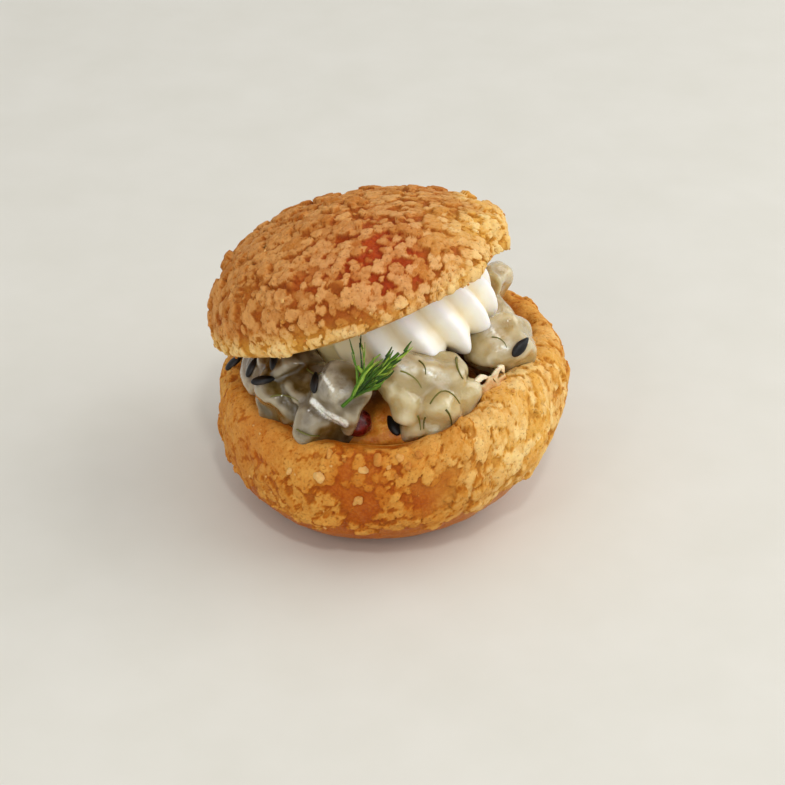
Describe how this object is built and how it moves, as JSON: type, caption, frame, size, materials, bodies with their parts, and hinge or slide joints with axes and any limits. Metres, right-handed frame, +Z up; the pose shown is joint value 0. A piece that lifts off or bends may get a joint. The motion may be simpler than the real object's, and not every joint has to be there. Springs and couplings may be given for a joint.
{
  "type": "choux au craquelin",
  "caption": "Savoury choux puff with a crackled biscuit crust, cut open, filled with diced raw seafood and piped cream, its hat set back on at a tilt and garnished with dill.",
  "frame": {"origin": "middle of the flat foot that the puff stands on", "axes": "+Z up, -Y the open side where the filling shows, +X to the right as seen from the open side"},
  "size_m": [0.0473, 0.0461, 0.0412],
  "materials": {
    "lower_crust": "baked choux shell, golden brown, with patchy craquelin crumb over a smoother darker foot",
    "hat_crust": "baked craquelin, pale tan crumb clumps with orange-red choux showing in the cracks",
    "cream": "thick piped cream, ivory, soft satin surface",
    "seafood": "wet translucent dice of raw seafood with fine dill threads and black sesame seeds",
    "dill": "fresh dill fronds",
    "peppercorn": "dark red, glossy"
  },
  "bodies": {
    "root": {"base": "lower_crust", "hat": "hat_crust", "cream": "cream", "filling": "seafood", "dill_sprig": "dill", "peppercorn": "peppercorn"}
  },
  "joints": []
}
